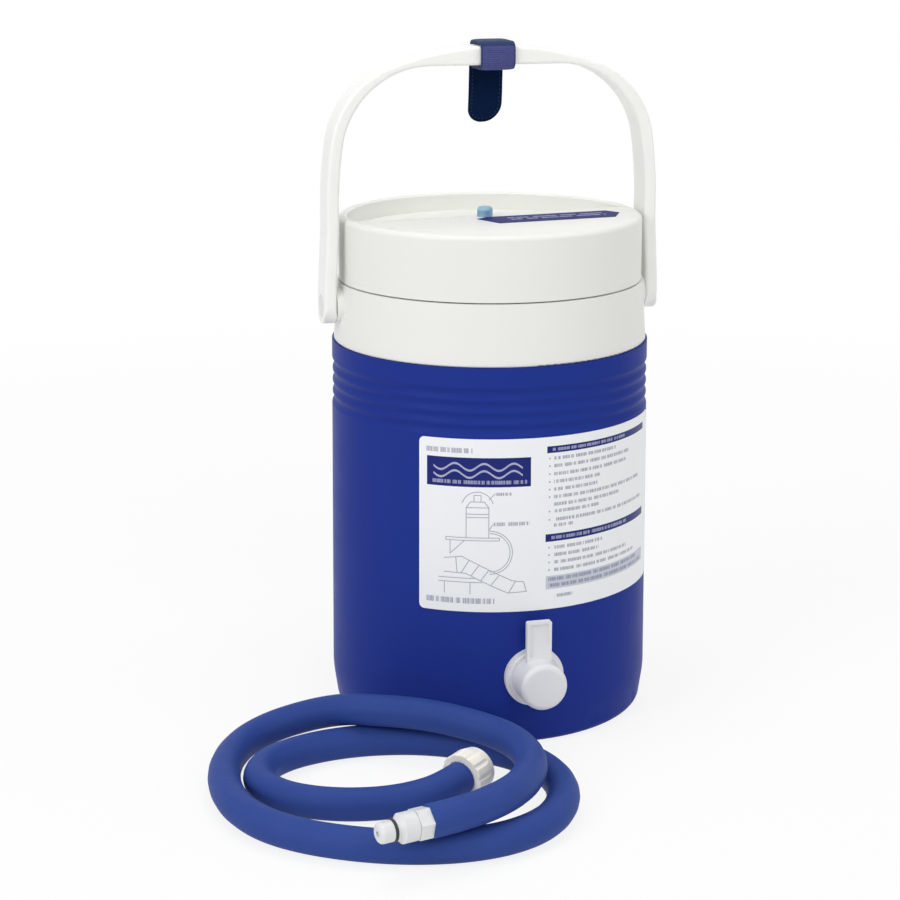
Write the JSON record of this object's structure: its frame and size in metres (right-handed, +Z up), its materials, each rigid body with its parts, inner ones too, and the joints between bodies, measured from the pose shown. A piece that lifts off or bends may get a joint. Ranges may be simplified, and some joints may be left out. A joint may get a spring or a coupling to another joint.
{
  "type": "gravity cold therapy cooler",
  "caption": "Insulated blue jug cooler with white screw lid, bail handle and hang strap, a levered outlet low on the front and a separate foam-covered hose.",
  "frame": {"origin": "centre of the jug's foot, on the floor, on the jug's axis", "axes": "+Z up along the jug's axis; -Y towards the outlet on the front; +X along the handle's pivot axis, to the right seen from the front"},
  "size_m": [0.3105, 0.3694, 0.4149],
  "materials": {
    "shell_blue": "semi-gloss moulded",
    "white_plastic": "satin moulded",
    "liner_white": "satin moulded",
    "foam": "rigid foam",
    "label_print": "printed film",
    "seal_rubber": "matte",
    "strap_fabric": "woven webbing",
    "hose_foam": "matte closed-cell sleeve",
    "nut_cream": "satin moulded",
    "vent_blue": "satin moulded",
    "pin_white": "satin moulded"
  },
  "bodies": {
    "jug": {"outer_shell": "shell_blue", "inner_liner": "liner_white", "foam_insulation": "foam", "collar": "white_plastic", "pivot_pin_left": "pin_white", "pivot_pin_right": "pin_white", "instruction_label": "label_print", "outlet_fitting": "white_plastic", "outlet_washer": "seal_rubber", "outlet_lock_nut": "pin_white", "hose": "hose_foam", "nut_stem": "pin_white", "nut_washer": "seal_rubber", "connector_ferrule": "pin_white", "connector_plug": "pin_white", "connector_o_ring": "seal_rubber"},
    "bail": {"handle": "white_plastic", "hang_strap": "strap_fabric", "strap_tongue": "strap_fabric"},
    "lid_seal": {"lid_gasket": "seal_rubber"},
    "lid": {"lid_plug": "liner_white", "lid_foam": "foam", "lid_shell": "white_plastic", "lid_strip": "label_print", "vent_tube": "liner_white"},
    "vent": {"vent_knob": "vent_blue", "vent_o_ring": "seal_rubber"},
    "cap_seal": {"outlet_cap_seal": "seal_rubber"},
    "cap": {"outlet_cap": "white_plastic"},
    "nut": {"coupling_nut": "nut_cream"}
  },
  "joints": [
    {"name": "handle_swing", "type": "hinge", "parent": "jug", "child": "bail", "pos_m": [0, 0, 0.2575], "axis": [1, 0, 0], "range_deg": [-100, 115]},
    {"name": "lid_lift", "type": "slide", "parent": "jug", "child": "lid_seal", "axis": [0, 0, 1], "range_m": [0, 0.045]},
    {"name": "lid_turn", "type": "hinge", "parent": "lid_seal", "child": "lid", "pos_m": [0, 0, 0.2925], "axis": [0, 0, 1], "range_deg": [0, 120]},
    {"name": "vent_pull", "type": "slide", "parent": "lid", "child": "vent", "axis": [0, 0, 1], "range_m": [0, 0.004]},
    {"name": "cap_pull", "type": "slide", "parent": "jug", "child": "cap_seal", "axis": [0, -1, 0], "range_m": [0, 0.022]},
    {"name": "cap_turn", "type": "hinge", "parent": "cap_seal", "child": "cap", "pos_m": [0, -0.117, 0.0444], "axis": [0, 1, 0], "range_deg": [0, 90]},
    {"name": "nut_spin", "type": "hinge", "parent": "jug", "child": "nut", "pos_m": [-0.0603, -0.16691, 0.01533], "axis": [0.7849, 0.6142, 0.0819], "continuous": true}
  ]
}
